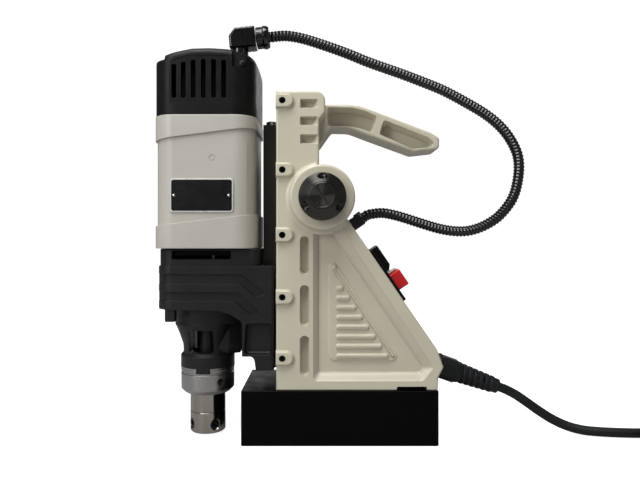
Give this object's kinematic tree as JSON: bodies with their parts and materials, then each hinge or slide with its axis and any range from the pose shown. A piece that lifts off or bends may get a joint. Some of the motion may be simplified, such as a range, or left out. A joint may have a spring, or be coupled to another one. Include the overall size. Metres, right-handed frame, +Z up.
{
  "type": "magnetic drill press",
  "caption": "Portable magnetic drill press: an electromagnet base, a cast frame with a handle, and a geared motor on a dovetail slide.",
  "frame": {"origin": "the centre of the electromagnet's working face, which stands on the steel plate", "axes": "+Z up, away from the plate; +X from the spindle side to the rear switch side; +Y away from the side with the feed hub"},
  "size_m": [0.5449, 0.19, 0.3762],
  "materials": {
    "base_enamel": "satin black enamel on machined steel",
    "cream_enamel": "satin cream enamel on cast aluminium",
    "shroud_plastic": "satin cream moulded plastic",
    "case_enamel": "satin black enamel on an aluminium casting",
    "cap_plastic": "fine-grained black moulded plastic",
    "slide_steel": "blackened ground steel",
    "bright_steel": "turned and brushed steel",
    "black_screw": "black oxide steel",
    "winding_copper": "enamelled copper wire",
    "resin": "potting resin",
    "bronze": "sintered bronze",
    "switch_plastic": "satin black moulded plastic",
    "rocker_plastic": "pale moulded plastic",
    "stop_plastic": "red moulded plastic",
    "start_plastic": "green moulded plastic",
    "board": "glass-fibre circuit board",
    "label": "black plate with a pale border",
    "conduit_plastic": "black corrugated nylon",
    "lead_rubber": "black rubber sheath"
  },
  "bodies": {
    "frame": {"magnet_body": "base_enamel", "magnet_coil_front": "winding_copper", "magnet_coil_rear": "winding_copper", "potting_front": "resin", "potting_rear": "resin", "frame_casting": "cream_enamel", "carry_handle": "cream_enamel", "rear_cover": "cream_enamel", "switch_panel": "switch_plastic", "switch_block": "switch_plastic", "control_board": "board", "gib_strip": "bronze", "gib_screw_1": "black_screw", "gib_screw_2": "black_screw", "gib_screw_3": "black_screw", "gib_screw_4": "black_screw", "gib_screw_5": "black_screw", "feed_bush_near": "bronze", "feed_bush_far": "bronze", "feed_end_cap": "case_enamel", "conduit_gland": "switch_plastic", "flexible_conduit": "conduit_plastic", "lead_strain_relief": "lead_rubber", "mains_lead": "lead_rubber", "mains_lead_coil": "lead_rubber", "mains_plug": "switch_plastic"},
    "carriage": {"slide_plate": "slide_steel", "slide_stop_screw": "black_screw", "feed_rack": "bright_steel", "gear_case": "case_enamel", "bearing_plate": "case_enamel", "spindle_neck": "case_enamel", "coolant_ring": "bright_steel", "spindle_bearing": "bright_steel", "motor_shroud": "shroud_plastic", "rating_plate": "label", "motor_cap": "cap_plastic", "stator": "bright_steel", "motor_end_frame": "cap_plastic", "armature_bearing": "bright_steel", "brush_near": "bronze", "brush_far": "bronze", "conduit_elbow": "cap_plastic", "conduit_nut": "cap_plastic"},
    "armature": {"armature": "bright_steel", "commutator": "winding_copper", "motor_fan": "cap_plastic"},
    "lay_shaft": {"lay_shaft": "bright_steel", "lay_gear": "bright_steel"},
    "spindle": {"spindle_shaft": "bright_steel", "spindle_gear": "bright_steel", "arbor_sleeve": "bright_steel", "arbor_screw_1": "black_screw", "arbor_screw_2": "black_screw"},
    "feed": {"feed_shaft": "bright_steel", "feed_hub": "bright_steel", "hub_cap": "cap_plastic"},
    "magnet_rocker": {"magnet_rocker": "rocker_plastic"},
    "stop_button": {"stop_button": "stop_plastic"},
    "start_button": {"start_button": "start_plastic"}
  },
  "joints": [
    {"name": "carriage_slide", "type": "slide", "parent": "frame", "child": "carriage", "axis": [0, 0, 1], "range_m": [0, 0.11], "deforming": ["flexible_conduit"]},
    {"name": "feed_turn", "type": "hinge", "parent": "frame", "child": "feed", "pos_m": [-0.015, 0, 0.213], "axis": [0, 1, 0], "range_deg": [0, 601]},
    {"name": "armature_spin", "type": "hinge", "parent": "carriage", "child": "armature", "pos_m": [-0.1155, 0, 0.2], "axis": [0, 0, 1], "continuous": true},
    {"name": "lay_spin", "type": "hinge", "parent": "carriage", "child": "lay_shaft", "pos_m": [-0.093, 0, 0.14], "axis": [0, 0, 1], "continuous": true},
    {"name": "spindle_spin", "type": "hinge", "parent": "carriage", "child": "spindle", "pos_m": [-0.121, 0, 0.05], "axis": [0, 0, 1], "continuous": true},
    {"name": "rocker_tilt", "type": "hinge", "parent": "frame", "child": "magnet_rocker", "pos_m": [0.03922, 0, 0.16122], "axis": [0, 1, 0], "range_deg": [-14, 0]},
    {"name": "stop_press", "type": "slide", "parent": "frame", "child": "stop_button", "axis": [-0.8246, 0, -0.5657], "range_m": [0, 0.002], "stiffness_N_per_m": 1500},
    {"name": "start_press", "type": "slide", "parent": "frame", "child": "start_button", "axis": [-0.8246, 0, -0.5657], "range_m": [0, 0.002], "stiffness_N_per_m": 1500}
  ],
  "couplings": [
    {"joint": "feed_turn", "follows": "carriage_slide", "rad_per_m": 95.238},
    {"joint": "lay_spin", "follows": "armature_spin", "ratio": -0.25},
    {"joint": "spindle_spin", "follows": "armature_spin", "ratio": 0.083333}
  ]
}
